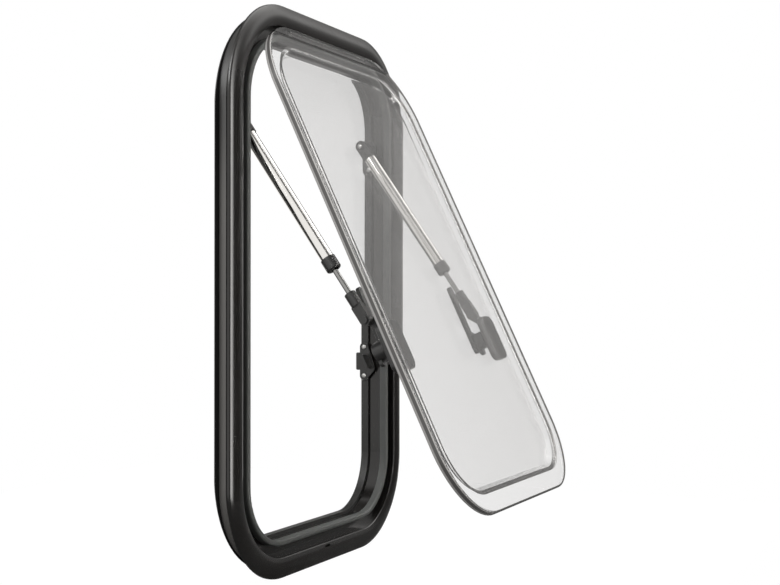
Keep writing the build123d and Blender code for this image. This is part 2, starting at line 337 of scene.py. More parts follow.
@dataclass(frozen=True)
class CollarLightAndShadeFinish(BlackFinish):
    """Black moulding whose collar, in front of a depth, is painted lighter as painted light, and darker
    towards its top as painted shade.
    """

    lit_collar_colour: Colour = (0.098, 0.095, 0.091)
    collar_depth: float = 20.6 * MM
    collar_fade: float = 0.3 * MM
    top_shade_colour: Colour = (0.036, 0.036, 0.035)
    top_shade_from: float = 90 * MM
    top_shade_to: float = 220 * MM

    def tint(self, paint: Paint, shade: Wire) -> Wire:
        """Paint light onto the collar, and painted shade towards its top."""
        split = paint.node("ShaderNodeSeparateXYZ", None, {"Vector": paint.place()})
        # Painted light lightens the collar; painted shade darkens it towards the top.
        collar_end = self.collar_depth - self.collar_fade
        collar = paint.ramp(paint.wire(split, "Y"), self.collar_depth, collar_end)
        top = paint.ramp(paint.wire(split, "Z"), self.top_shade_from, self.top_shade_to)
        return paint.blend(collar, shade, paint.blend(top, self.lit_collar_colour, self.top_shade_colour))


@dataclass(frozen=True)
class PaintedLightAndShadeEdge(BlackFinish):
    """Sawn rim of the double sash: smoky and darker at the bond between the sheets, painted light towards
    both faces, and painted shade along its straight top and bottom.
    """

    pivot: Sequence[float] = (0.0, 0.0, 0.0)
    angle: float = 0.0
    bond_front: float = -11.4 * MM
    bond_rear: float = -7.8 * MM
    fade: float = 0.6 * MM
    top: float = 0.0
    bottom: float = 0.0
    top_shade_fade: tuple[float, float] = (2.2 * MM, 1.6 * MM)
    bottom_shade_fade: tuple[float, float] = (1.6 * MM, 0.9 * MM)
    front_light_colour: Colour = (0.44, 0.43, 0.42)
    rear_light_colour: Colour = (0.29, 0.285, 0.28)
    end_shade_colour: Colour = (0.012, 0.012, 0.012)

    def tint(self, paint: Paint, shade: Wire) -> Wire:
        """Paint light onto the rim away from the bond, and paint shade onto its straight top and bottom.

        Args:
            paint: the material's tree.
            shade: the smoky colour at the bond.

        Returns:
            The colour of the rim.
        """
        closed = paint.node(
            "ShaderNodeMapping",
            {"vector_type": "TEXTURE"},
            {"Vector": paint.place(), "Location": self.pivot, "Rotation": (-self.angle, 0, 0)},
        )
        split = paint.node("ShaderNodeSeparateXYZ", None, {"Vector": paint.wire(closed)})
        depth = paint.wire(split, "Y") + self.pivot[1]
        # Painted light: lighter towards both faces, away from the darker bond.
        rear = paint.ramp(depth, self.bond_rear, self.bond_rear + self.fade)
        front = paint.ramp(depth, self.bond_front, self.bond_front - self.fade)
        rim = paint.blend(front, paint.blend(rear, shade, self.rear_light_colour), self.front_light_colour)
        # Painted shade along the straight top and bottom, where one looks along the rim.
        rise = paint.wire(split, "Z") + self.pivot[2]
        ends = paint.ramp(rise, *(self.top - fade for fade in self.top_shade_fade))
        ends = ends + paint.ramp(rise, *(self.bottom + fade for fade in self.bottom_shade_fade))
        return paint.blend(ends, rim, self.end_shade_colour)


@dataclass(frozen=True)
class BrightMetal:
    """Plated or drawn metal with fine lines along its length."""

    name: str
    colour: Colour
    roughness: float
    line_width: float
    line_depth: float
    lean: float = 0.0
    line_stretch: float = 0.01
    line_share: float = 0.6
    line_gloss: float = 0.04
    film_size: float = 25 * MM
    film_gloss: float = 0.05
    darkest: float = 0.93
    lightest: float = 1.05

    def material(self) -> bpy.types.Material:
        """Build the material.

        Returns:
            The new material.
        """
        made = bpy.data.materials.new(self.name)
        paint = Paint(made)
        along = paint.place(scale=(1, 1, self.line_stretch), turn=(self.lean, 0, 0))
        lines = paint.noise(self.line_width, along, detail=3.0, roughness=0.7)
        film = paint.noise(self.film_size, paint.place(), detail=2.0)
        shade = paint.blend(
            lines * self.line_share + film * (1 - self.line_share),
            scaled(self.colour, self.darkest),
            scaled(self.colour, self.lightest),
        )
        gloss = (film - 0.5) * self.film_gloss + (lines - 0.5) * self.line_gloss + self.roughness
        shader = paint.node(
            "ShaderNodeBsdfPrincipled",
            None,
            {
                "Base Color": shade,
                "Metallic": 1.0,
                "Roughness": gloss,
                "Normal": paint.bump(lines, self.line_depth),
            },
        )
        paint.finish(paint.wire(shader))
        return made


@dataclass(frozen=True)
class SmokedAcrylic:
    """Clear sheet with a light smoke tint that darkens where one looks along it."""

    name: str
    smoke: Colour
    density: float
    roughness: float = 0.0
    index: float = 1.49
    wipe_size: float = 14 * MM
    wipe_stretch: float = 0.2
    wipe_lean: float = math.radians(35)
    wipe_contrast: float = 3.0
    wipe_haze: float = 0.006
    bend_shade_colour: Colour = (0.018, 0.0175, 0.017)
    bend_shade_roughness: float = 0.3
    lamp_colour: Colour = (0.82, 0.815, 0.81)

    def material(self) -> bpy.types.Material:
        """Build the material: glass for sight, open to lamps, with smoke in its depth and painted shade on
        marked faces.

        Returns:
            The new material.
        """
        made = bpy.data.materials.new(self.name)
        paint = Paint(made)
        wiped = paint.place(scale=(1, 1, self.wipe_stretch), turn=(0, self.wipe_lean, 0))
        wipes = paint.noise(self.wipe_size, wiped, detail=5.0)
        sheet = paint.node(
            "ShaderNodeBsdfPrincipled",
            None,
            {
                "Base Color": (1.0, 1.0, 1.0, 1.0),
                "Roughness": wipes.power(self.wipe_contrast) * self.wipe_haze + self.roughness,
                "IOR": self.index,
                "Transmission Weight": 1.0,
            },
        )
        # Dark surface mixed in as painted shade on marked faces.
        bend = paint.node(
            "ShaderNodeBsdfPrincipled",
            None,
            {"Base Color": (*self.bend_shade_colour, 1.0), "Roughness": self.bend_shade_roughness},
        )
        shade_mark = paint.node("ShaderNodeAttribute", {"attribute_name": PAINTED_SHADE_MARK})
        formed = paint.node(
            "ShaderNodeMixShader",
            None,
            {"Fac": paint.wire(shade_mark, "Fac"), 1: paint.wire(sheet), 2: paint.wire(bend)},
        )
        open_way = paint.node("ShaderNodeBsdfTransparent", None, {"Color": (*self.lamp_colour, 1.0)})
        path = paint.node("ShaderNodeLightPath")
        mix = paint.node(
            "ShaderNodeMixShader",
            None,
            {"Fac": paint.wire(path, "Is Shadow Ray"), 1: paint.wire(formed), 2: paint.wire(open_way)},
        )
        smoke = paint.node(
            "ShaderNodeVolumeAbsorption", None, {"Color": (*self.smoke, 1.0), "Density": self.density}
        )
        paint.finish(paint.wire(mix), paint.wire(smoke))
        return made


STAY_LEAN = math.radians(35.32)

FRAME_COAT = WeatheredFinish(
    "frame_coat", (0.0095, 0.0088, 0.0082), 0.15, 0.06, 0.15, 0.7 * MM, 0.006 * MM
)
# The ring's collar takes painted light, and painted shade towards its top.
RING_MOULDING = CollarLightAndShadeFinish(
    "ring_moulding", (0.018, 0.018, 0.0175), 0.38, 0.10, 0.18, 0.45 * MM, 0.01 * MM
)
FITTING_PLASTIC = BlackFinish(
    "fitting_plastic", (0.019, 0.019, 0.0186), 0.32, 0.12, 0.20, 0.35 * MM, 0.012 * MM, 30 * MM
)
SEAL_RUBBER = BlackFinish(
    "seal_rubber", (0.070, 0.074, 0.071), 0.60, 0.10, 0.20, 0.5 * MM, 0.02 * MM, 40 * MM
)
TUBE_CHROME = BrightMetal("tube_chrome", (0.80, 0.79, 0.77), 0.10, 0.5 * MM, 0.0001 * MM, STAY_LEAN)
ROD_STEEL = BrightMetal("rod_steel", (0.30, 0.30, 0.295), 0.12, 0.3 * MM, 0.0001 * MM, STAY_LEAN)
SCREW_ZINC = BrightMetal("screw_zinc", (0.52, 0.52, 0.51), 0.28, 0.3 * MM, 0.002 * MM)
PANE_ACRYLIC = SmokedAcrylic("pane_acrylic", (0.52, 0.44, 0.38), 4.8)
STRIP_ACRYLIC = SmokedAcrylic("strip_acrylic", (0.52, 0.44, 0.38), 4.8, roughness=0.02)


def dress(node: str, finish: bpy.types.Material) -> None:
    """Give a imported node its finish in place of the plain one."""
    for slot in frame["nodes"][node].material_slots:
        slot.material = finish
    LOG.info("dressed %s with %s", node, finish.name)


def add_object(name: str, data: bpy.types.ID) -> bpy.types.Object:
    """Put a mesh, lamp or lens in the scene.

    Args:
        name: the object's name.
        data: the mesh, lamp or lens.

    Returns:
        The new object.
    """
    made = bpy.data.objects.new(name, data)
    bpy.context.scene.collection.objects.link(made)
    return made


def settled(built: bmesh.types.BMesh, name: str) -> bpy.types.Mesh:
    """Turn a mesh under construction into a finished one.

    Args:
        built: the mesh under construction, which is freed.
        name: the finished mesh's name.

    Returns:
        The finished mesh.
    """
    mesh = bpy.data.meshes.new(name)
    built.to_mesh(mesh)
    built.free()
    return mesh


def closed_skin(rings: Sequence[Sequence[Sequence[float]]], name: str) -> bpy.types.Mesh:
    """Skin rings of points into a closed mesh.

    Args:
        rings: the rings, from the top one to the foot.
        name: the mesh's name.

    Returns:
        The closed mesh.
    """
    built = bmesh.new()
    rows = [[built.verts.new(point) for point in ring] for ring in rings]
    built.faces.new(rows[0])
    built.faces.new(list(reversed(rows[-1])))
    for upper, lower in zip(rows, rows[1:]):
        for step in range(len(upper)):
            after = (step + 1) % len(upper)
            built.faces.new((upper[step], lower[step], lower[after], upper[after]))
    bmesh.ops.recalc_face_normals(built, faces=built.faces)
    return settled(built, name)


def smooth(mesh: bpy.types.Mesh, sharp: float = SHARP_EDGE) -> None:
    """Shade a mesh smooth, apart from edges that bend by more than an angle."""
    mesh.polygons.foreach_set("use_smooth", [True] * len(mesh.polygons))
    mesh.set_sharp_from_angle(angle=sharp)


def new_piece(name: str, mesh: bpy.types.Mesh, body: str) -> bpy.types.Object:
    """Put a finished mesh in the scene as a piece that moves with a body.

    Args:
        name: the piece's name.
        mesh: its mesh, in place.
        body: the body that it rides on.

    Returns:
        The new object.
    """
    piece = add_object(name, mesh)
    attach(piece, body)
    LOG.info("made %s with %d faces", name, len(mesh.polygons))
    return piece


def plain_mesh(draft: bpy.types.Object, name: str) -> bpy.types.Mesh:
    """Turn an object with modifiers into a plain mesh, and take the object away.

    Args:
        draft: the object, linked to the scene.
        name: the mesh's name.

    Returns:
        The mesh.
    """
    graph = bpy.context.evaluated_depsgraph_get()
    mesh = bpy.data.meshes.new_from_object(draft.evaluated_get(graph), depsgraph=graph)
    mesh.name = name
    draft.modifiers.clear()
    bpy.data.objects.remove(draft)
    return mesh


@dataclass
class SashHinge:
    """Where the sash turns, and how far it stands open."""

    pivot: Vector
    angle: float

    @classmethod
    def from_frame(cls) -> "SashHinge":
        """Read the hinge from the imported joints."""
        joint = next(row for row in frame["joints"] if row["name"] == "sash_hinge")
        return cls(Vector(joint["pos_m"]), math.radians(joint["range_deg"][1]))

    def opening(self) -> Matrix:
        """The move that takes a point of the closed sash to the open one."""
        turn = Matrix.Rotation(-self.angle, 4, "X")
        return Matrix.Translation(self.pivot) @ turn @ Matrix.Translation(-self.pivot)

    def closed_box(self, node: str) -> tuple[Vector, Vector]:
        """Lowest and highest corner of a sash node with the sash closed.

        Args:
            node: the node's name.

        Returns:
            The two corners.
        """
        back = self.opening().inverted()
        points = [back @ vertex.co for vertex in frame["nodes"][node].data.vertices]
        low = Vector([min(point[axis] for point in points) for axis in range(3)])
        high = Vector([max(point[axis] for point in points) for axis in range(3)])
        return low, high


@dataclass
class Outline:
    """Upright rounded rectangle, which may be cut straight across below its top."""

    half_width: float
    bottom: float
    top: float
    corner: float
    cut: float | None = None
    steps: int = 18

    def loop(self, inset: float, depth: float) -> list[Vector]:
        """Points of the outline drawn in by an inset.

        Args:
            inset: how far inside the outline the loop runs.
            depth: its place along Y.

        Returns:
            The loop's points, the same number for every outline.
        """
        radius = self.corner - inset
        across = self.half_width - self.corner
        low, high = self.bottom + self.corner, self.top - self.corner
        reach = 90.0
        if self.cut is not None:
            reach = math.degrees(math.asin((self.cut - inset - high) / radius))
        arcs = (
            (across, high, 0.0, reach),
            (-across, high, 180.0 - reach, 180.0),
            (-across, low, 180.0, 270.0),
            (across, low, 270.0, 360.0),
        )
        points = []
        for x, z, start, end in arcs:
            for step in range(self.steps + 1):
                angle = math.radians(start + (end - start) * step / self.steps)
                points.append(Vector((x + radius * math.cos(angle), depth, z + radius * math.sin(angle))))
        return points

    def facing(self, point: Vector) -> tuple[float, float]:
        """Which way the outline faces beside a point, across and upright."""
        across, low, high = self.half_width - self.corner, self.bottom + self.corner, self.top - self.corner
        away = Vector((point.x - max(-across, min(across, point.x)), point.z - max(low, min(high, point.z))))
        away.normalize()
        return away.x, away.y


@dataclass
class Glazing:
    """Double sash: a flat outer sheet bonded round its rim to a dished inner sheet, with air between."""

    hinge: SashHinge
    outer_sheet: float = 5.0 * MM
    inner_sheet: float = 3.5 * MM
    sash_corner: float = 88.5 * MM
    strip_height: float = 13.0 * MM
    margin_side: float = 20.0 * MM
    margin_top: float = 29.0 * MM
    margin_bottom: float = 26.0 * MM
    dish_corner: float = 62.0 * MM
    dish_depth: float = 8.0 * MM
    dish_draft: float = math.radians(40)
    front_round: float = 0.6 * MM
    rear_round: float = 0.8 * MM
    foot_bend: float = 4.5 * MM
    brow_bend: float = 4.3 * MM
    bend_steps: int = 7
    flat_margin: float = 2.5 * MM
    # Painted shade of the dish's bend, by side, and of the front edge's straight bottom.
    shade_below: float = 1.0
    shade_left: float = 0.95
    shade_right: float = 0.25
    lip_contrast: int = 12

    def __post_init__(self) -> None:
        """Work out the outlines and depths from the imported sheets."""
        low, high = self.hinge.closed_box("outer_pane")
        inner_high = self.hinge.closed_box("inner_pane")[1]
        half_width = (high.x - low.x) / 2
        top = high.z + self.strip_height
        self.front = low.y
        self.dish_rear = inner_high.y
        self.rim_rear = self.dish_rear - self.dish_depth
        self.rim = Outline(half_width, low.z, top, self.sash_corner, cut=high.z)
        self.dish = Outline(
            half_width - self.margin_side,
            low.z + self.margin_bottom,
            top - self.margin_top,
            self.dish_corner,
        )

    @property
    def slope(self) -> float:
        """Angle through which the inner sheet bends at the dish's foot and brow."""
        return math.pi / 2 - self.dish_draft

    @property
    def foot_middle(self) -> float:
        """Inset at which the bend at the dish's foot is centred."""
        return -self.foot_bend * math.tan(self.slope / 2)

    def arc(self, start: float, end: float) -> list[float]:
        """Angles along a bend, both ends included."""
        return [start + (end - start) * step / self.bend_steps for step in range(self.bend_steps + 1)]

    def outside(self) -> list[list[Vector]]:
        """Loops over the outside, from the middle of the front to the middle of the dish.

        Returns:
            The loops in order.
        """
        quarter = math.pi / 2
        loops = [self.rim.loop(3 * self.flat_margin, self.front), self.rim.loop(self.flat_margin, self.front)]
        for angle in self.arc(0, quarter):
            loops.append(
                self.rim.loop(
                    self.front_round * (1 - math.sin(angle)),
                    self.front + self.front_round * (1 - math.cos(angle)),
                )
            )
        for angle in self.arc(0, quarter):
            loops.append(
                self.rim.loop(
                    self.rear_round * (1 - math.cos(angle)),
                    self.rim_rear - self.rear_round * (1 - math.sin(angle)),
                )
            )
        loops.append(self.rim.loop(self.flat_margin, self.rim_rear))
        return loops + self.dished(0.0)

    def dished(self, below: float) -> list[list[Vector]]:
        """Loops from the flange up the dish wall to its floor.

        Args:
            below: how far in front of the inner sheet's rear face the surface runs.

        Returns:
            The loops in order.
        """
        foot, brow = self.foot_bend + below, self.brow_bend - below
        run = self.dish_depth * math.tan(self.dish_draft)
        brow_middle = run + self.brow_bend * math.tan(self.slope / 2)
        loops = [self.dish.loop(self.foot_middle - self.flat_margin, self.rim_rear - below)]
        for angle in self.arc(0, self.slope):
            loops.append(
                self.dish.loop(
                    self.foot_middle + foot * math.sin(angle),
                    self.rim_rear + self.foot_bend - foot * math.cos(angle),
                )
            )
        for angle in self.arc(self.slope, 0):
            loops.append(
                self.dish.loop(
                    brow_middle - brow * math.sin(angle),
                    self.dish_rear - self.brow_bend + brow * math.cos(angle),
                )
            )
        loops.append(self.dish.loop(brow_middle + self.flat_margin, self.dish_rear - below))
        return loops

    def cavity(self) -> list[list[Vector]]:
        """Loops round the air between the sheets.

        Returns:
            The loops in order, from the outer sheet's rear face to the dish floor.
        """
        joint = self.front + self.outer_sheet
        return [
            self.dish.loop(self.foot_middle + self.flat_margin, joint),
            self.dish.loop(self.foot_middle, joint),
            *self.dished(self.inner_sheet)[1:],
        ]

    def bend_shade(self, point: Vector) -> float:
        """How much painted shade the bend gets beside a point: most below, less at the sides and not at the
        top.
        """
        across, upright = self.dish.facing(point)
        side = self.shade_left if across < 0 else self.shade_right
        return side * across**2 + (self.shade_below * upright**2 if upright < 0 else 0.0)

    def lip_shade(self, point: Vector) -> float:
        """How much painted shade the front edge gets beside a point: only along the straight bottom."""
        return max(0.0, -self.rim.facing(point)[1]) ** self.lip_contrast

    def loft(
        self,
        built: bmesh.types.BMesh,
        loops: list[list[Vector]],
        hollow: bool,
        edge_rows: range = range(0),
        painted_shade_rows: Sequence[tuple[range, Callable[[Vector], float]]] = (),
    ) -> None:
        """Skin a stack of loops into a closed shell.

        Args:
            built: the mesh that it is added to.
            loops: the loops in order.
            hollow: whether the shell bounds air inside the sheet.
            edge_rows: the rows of faces that take the sawn edge's finish.
            painted_shade_rows: rows of faces that take painted shade, each with the rule for how dark.
        """
        rows = [[built.verts.new(point) for point in loop] for loop in loops]
        count = len(rows[0])
        marks = built.faces.layers.float
        shade_mark = marks.get(PAINTED_SHADE_MARK) or marks.new(PAINTED_SHADE_MARK)
        faces = [built.faces.new(rows[0]), built.faces.new(rows[-1])]
        for row, (near, far) in enumerate(zip(rows, rows[1:])):
            for step in range(count):
                after = (step + 1) % count
                face = built.faces.new((near[step], near[after], far[after], far[step]))
                face.material_index = 1 if row in edge_rows else 0
                rules = [rule for dark, rule in painted_shade_rows if row in dark]
                face[shade_mark] = rules[0](face.calc_center_median()) if rules else 0.0
                faces.append(face)
        bmesh.ops.recalc_face_normals(built, faces=faces)
        if hollow:
            bmesh.ops.reverse_faces(built, faces=faces)

    def build(self, finish: bpy.types.Material) -> bpy.types.Object:
        """Make the glazing and stand it open.

        Args:
            finish: the acrylic.

        Returns:
            The piece.
        """
        built = bmesh.new()
        # Rows of faces: the straight sawn edge, and the first one of the bend at the dish's foot
        wall = 2 + self.bend_steps
        foot = wall + self.bend_steps + 4
        self.loft(
            built,
            self.outside(),
            False,
            edge_rows=range(wall - 2, wall + self.bend_steps),
            # The front edge's straight bottom and the bend at the dish's foot take painted shade.
            painted_shade_rows=(
                (range(1, wall - 2), self.lip_shade),
                (range(foot, foot + self.bend_steps), self.bend_shade),
            ),
        )
        self.loft(built, self.cavity(), True)
        built.transform(self.hinge.opening())
        mesh = settled(built, "glazing")
        smooth(mesh)
        mesh.materials.append(finish)
        # The sawn edge takes painted light towards both faces and painted shade along its straight top and
        # bottom.
        edge = PaintedLightAndShadeEdge(
            "pane_edge", (0.078, 0.076, 0.074), 0.25, 0.08, 0.20, 0.6 * MM, 0.01 * MM, 40 * MM,
            pivot=tuple(self.hinge.pivot), angle=self.hinge.angle, top=self.rim.cut, bottom=self.rim.bottom,
        )
        mesh.materials.append(edge.material())
        piece = new_piece("glazing", mesh, "sash")
        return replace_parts(piece, "outer_pane", "inner_pane")


@dataclass
class EasedFitting:
    """Moulded fitting whose edges are eased, so that they catch the light."""

    node: str
    body: str
    ease: float = 0.45 * MM
    segments: int = 2
    crease: float = math.radians(28)
    merge: float = 0.002 * MM
    flat: float = math.radians(1)
    sharp: float = math.radians(50)

    def mesh(self) -> bpy.types.Mesh:
        """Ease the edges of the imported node's mesh.

        Returns:
            The new mesh.
        """
        built = bmesh.new()
        built.from_mesh(frame["nodes"][self.node].data)
        bmesh.ops.remove_doubles(built, verts=built.verts, dist=self.merge)
        bmesh.ops.dissolve_limit(built, angle_limit=self.flat, verts=built.verts, edges=built.edges)
        edges = [edge for edge in built.edges if edge.is_manifold and edge.calc_face_angle() > self.crease]
        bmesh.ops.bevel(
            built,
            geom=edges,
            offset=self.ease,
            segments=self.segments,
            profile=0.5,
            affect="EDGES",
            clamp_overlap=True,
        )
        return settled(built, f"{self.node}_eased")

    def build(self, finish: bpy.types.Material) -> bpy.types.Object:
        """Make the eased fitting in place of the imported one.

        Args:
            finish: its material.

        Returns:
            The piece.
        """
        mesh = self.mesh()
        smooth(mesh, self.sharp)
        draft = add_object("draft", mesh)
        weighted = draft.modifiers.new("weighted", "WEIGHTED_NORMAL")
        weighted.keep_sharp = True
        final = plain_mesh(draft, f"{self.node}_eased")
        final.materials.clear()
        final.materials.append(finish)
        piece = new_piece(f"{self.node}_eased", final, self.body)
        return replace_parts(piece, self.node)


@dataclass(frozen=True)
class ScrewSpot:
    """Where a screw sits and which way its head faces."""

    place: tuple[float, float, float]
    facing: tuple[float, float, float]
    scale: float = 1.0


@dataclass
class ScrewRow:
    """Cross-headed screws set at given spots by Geometry Nodes."""

    head_radius: float = 3.4 * MM
    head_height: float = 1.5 * MM
    slot_length: float = 4.2 * MM
    slot_width: float = 0.85 * MM
    slot_depth: float = 0.9 * MM
    slot_taper: tuple[float, float] = (0.6, 0.8)
    cutter_rise: float = 1.5
    rounds: int = 32
    seed: int = 7

    def lathe(self, profile: Sequence[tuple[float, float]]) -> bpy.types.Mesh:
        """Turn a profile of radius and height about Z.

        Args:
            profile: the profile, from the middle of the top to the middle of the foot.

        Returns:
            The closed mesh.
        """
        angles = [2 * math.pi * step / self.rounds for step in range(self.rounds)]
        rings = [
            [(radius * math.cos(angle), radius * math.sin(angle), height) for angle in angles]
            for radius, height in profile
        ]
        return closed_skin(rings, "screw_head")

    def cross(self) -> bpy.types.Mesh:
        """The cutter of the cross recess, tapering downwards.

        Returns:
            The closed mesh.
        """
        top, foot = self.head_height * self.cutter_rise, self.head_height - self.slot_depth
        along, across = self.slot_taper
        long, thin = self.slot_length / 2, self.slot_width / 2
        outline = [
            (long, thin), (thin, thin), (thin, long), (-thin, long), (-thin, thin), (-long, thin),
            (-long, -thin), (-thin, -thin), (-thin, -long), (thin, -long), (thin, -thin), (long, -thin),
        ]
        upper = [(x, y, top) for x, y in outline]
        lower = [(x * along, y * across, foot) for x, y in outline]
        return closed_skin((upper, lower), "screw_cross")

    def head(self) -> bpy.types.Object:
        """One screw head with its recess, a pattern for the row.

        Returns:
            The head.
        """
        radius, height = self.head_radius, self.head_height
        profile = (
            (0.30 * radius, height), (0.55 * radius, 0.97 * height), (0.78 * radius, 0.83 * height),
            (0.93 * radius, 0.58 * height), (radius, 0.30 * height), (radius, -0.10 * height),
        )
        blank = add_object("screw_blank", self.lathe(profile))
        cutter = add_object("screw_cutter", self.cross())
        recess = blank.modifiers.new("recess", "BOOLEAN")
        recess.operation, recess.solver, recess.object = "DIFFERENCE", "EXACT", cutter
        mesh = plain_mesh(blank, "screw_head")
        bpy.data.objects.remove(cutter)
        smooth(mesh)
        return add_object("screw_head", mesh)

    def tree(self) -> bpy.types.GeometryNodeTree:
        """Node tree that stands a head on each point, turned at random about its own axis.

        Returns:
            The tree, with named inputs.
        """
        tree = bpy.data.node_groups.new("screw_row", "GeometryNodeTree")
        for name, kind in (
            ("Geometry", "NodeSocketGeometry"),
            ("Head", "NodeSocketObject"),
            ("Finish", "NodeSocketMaterial"),
            ("Seed", "NodeSocketInt"),
        ):
            tree.interface.new_socket(name=name, in_out="INPUT", socket_type=kind)
        tree.interface.new_socket(name="Geometry", in_out="OUTPUT", socket_type="NodeSocketGeometry")
        made = {
            name: tree.nodes.new(kind)
            for name, kind in (
                ("input", "NodeGroupInput"),
                ("head", "GeometryNodeObjectInfo"),
                ("facing", "GeometryNodeInputNamedAttribute"),
                ("scale", "GeometryNodeInputNamedAttribute"),
                ("align", "FunctionNodeAlignRotationToVector"),
                ("turn", "FunctionNodeRandomValue"),
                ("spin", "FunctionNodeAxisAngleToRotation"),
                ("rotate", "FunctionNodeRotateRotation"),
                ("stand", "GeometryNodeInstanceOnPoints"),
                ("realize", "GeometryNodeRealizeInstances"),
                ("material", "GeometryNodeSetMaterial"),
                ("output", "NodeGroupOutput"),
            )
        }
        for name, kind in (("facing", "FLOAT_VECTOR"), ("scale", "FLOAT")):
            made[name].data_type = kind
            made[name].inputs["Name"].default_value = name
        made["align"].axis = "Z"
        made["turn"].data_type = "FLOAT"
        made["turn"].inputs[3].default_value = 2 * math.pi
        made["rotate"].rotation_space = "LOCAL"
        for source, output, target, entry in (
            ("input", "Head", "head", "Object"),
            ("input", "Seed", "turn", "Seed"),
            ("input", "Geometry", "stand", "Points"),
            ("head", "Geometry", "stand", "Instance"),
            ("facing", "Attribute", "align", "Vector"),
            ("turn", 1, "spin", "Angle"),
            ("align", "Rotation", "rotate", "Rotation"),
            ("spin", "Rotation", "rotate", "Rotate By"),
            ("rotate", "Rotation", "stand", "Rotation"),
            ("scale", "Attribute", "stand", "Scale"),
            ("stand", "Instances", "realize", "Geometry"),
            ("realize", "Geometry", "material", "Geometry"),
            ("input", "Finish", "material", "Material"),
            ("material", "Geometry", "output", "Geometry"),
        ):
            tree.links.new(made[source].outputs[output], made[target].inputs[entry])
        return tree

    def build(
        self, name: str, body: str, spots: Sequence[ScrewSpot], finish: bpy.types.Material
    ) -> bpy.types.Object:
        """Set the screws of one body.

        Args:
            name: the piece's name.
            body: the body that they ride on.
            spots: their places.
            finish: their metal.

        Returns:
            The piece.
        """
        pattern = self.head()
        mesh = bpy.data.meshes.new("screw_spots")
        mesh.from_pydata([spot.place for spot in spots], [], [])
        facing = mesh.attributes.new("facing", "FLOAT_VECTOR", "POINT")
        facing.data.foreach_set("vector", [part for spot in spots for part in spot.facing])
        scale = mesh.attributes.new("scale", "FLOAT", "POINT")
        scale.data.foreach_set("value", [spot.scale for spot in spots])
        carrier = add_object("screw_spots", mesh)
        tree = self.tree()
        row = carrier.modifiers.new("screws", "NODES")
        row.node_group = tree
        inputs = {item.name: item.identifier for item in tree.interface.items_tree if item.in_out == "INPUT"}
        row[inputs["Head"]] = pattern
        row[inputs["Finish"]] = finish
        row[inputs["Seed"]] = self.seed
        screws = plain_mesh(carrier, name)
        bpy.data.objects.remove(pattern)
        return new_piece(name, screws, body)


@dataclass(frozen=True)
class FrameScrews:
    """Places of the screws in the frame: catches, stay brackets and the clamp ring's rim."""

    fitting_face: float = 179.0 * MM
    catch_depth: float = 29.5 * MM
    catch_rise: float = -98.0 * MM
    catch_pitch: float = 41.0 * MM
    bracket_depth: float = 27.0 * MM
    bracket_foot: float = 174.0 * MM
    pivot_rise: float = 205.0 * MM
    pivot_face: float = 150.5 * MM
    rim_depth: float = 22.2 * MM
    rim_half_width: float = 217.6 * MM
    rim_half_height: float = 337.6 * MM
    rim_scale: float = 0.68
    rim_pitch: float = 72.0 * MM
    rim_stile_count: int = 6
    rim_rail_count: int = 3

    def fittings(self) -> list[ScrewSpot]:
        """Screws that face the middle of the window on both stiles."""
        spots = []
        for side in Side:
            inward = (-float(side.sign), 0.0, 0.0)
            face = side.sign * self.fitting_face
            for end in (-0.5, 0.5):
                rise = self.catch_rise + end * self.catch_pitch
                spots.append(ScrewSpot((face, self.catch_depth, rise), inward))
            spots.append(ScrewSpot((face, self.bracket_depth, self.bracket_foot), inward))
            pivot = (side.sign * self.pivot_face, self.bracket_depth, self.pivot_rise)
            spots.append(ScrewSpot(pivot, inward))
        return spots

    def spread(self, count: int) -> list[float]:
        """Places along a run of rim screws, even about its middle."""
        return [(step - (count - 1) / 2) * self.rim_pitch for step in range(count)]

    def rim(self) -> list[ScrewSpot]:
        """Screws along the straight runs of the clamp ring's rim."""
        inside = (0.0, 1.0, 0.0)
        spots = []
        for side in Side:
            stile, rail = side.sign * self.rim_half_width, side.sign * self.rim_half_height
            places = [(stile, self.rim_depth, rise) for rise in self.spread(self.rim_stile_count)]
            places += [(across, self.rim_depth, rail) for across in self.spread(self.rim_rail_count)]
            spots += [ScrewSpot(place, inside, self.rim_scale) for place in places]
        return spots


@dataclass(frozen=True)
class Panel:
    """Soft bright screen of the studio, square to a direction; its sizes are half angles in degrees."""

    towards: Sequence[float]
    across: float
    upright: float
    fade: float
    strength: float
    least_depth: float = 0.001
    turned_fade: float = 0.05

    def window(self, paint: Paint, offset: Wire, half: float) -> Wire:
        """1 inside a half angle, fading to 0 outside it."""
        return paint.ramp(offset, math.tan(math.radians(half + self.fade)), math.tan(math.radians(half)))

    def glow(self, paint: Paint, direction: Wire) -> Wire:
        """Add the screen to the world's tree.

        Args:
            paint: the world's tree.
            direction: the direction looked in.

        Returns:
            The screen's brightness in that direction.
        """
        ahead = Vector(self.towards).normalized()
        aside = ahead.cross(Vector((0, 0, 1))).normalized()
        facing = paint.along(direction, ahead)
        depth = facing.at_least(self.least_depth)
        wide = self.window(paint, (paint.along(direction, aside) / depth).size(), self.across)
        high = self.window(paint, (paint.along(direction, aside.cross(ahead)) / depth).size(), self.upright)
        return wide * high * paint.ramp(facing, 0.0, self.turned_fade) * self.strength


STUDIO_PANELS = (
    Panel((0.793, 0.609, -0.1), 41, 13, 4, 1.0),
    Panel((0.650, -0.406, 0.643), 9, 23, 4, 2.5),
    Panel((0.3, -0.2, 1.0), 26, 26, 8, 1.1),
    Panel((0.904, -0.27, 0.34), 16, 14, 14, 0.27),
    Panel((-0.03, -1.0, 0.0), 4, 40, 3, 10.0),
    Panel((-0.94, 0.25, 0.30), 42, 38, 15, 0.95),
)


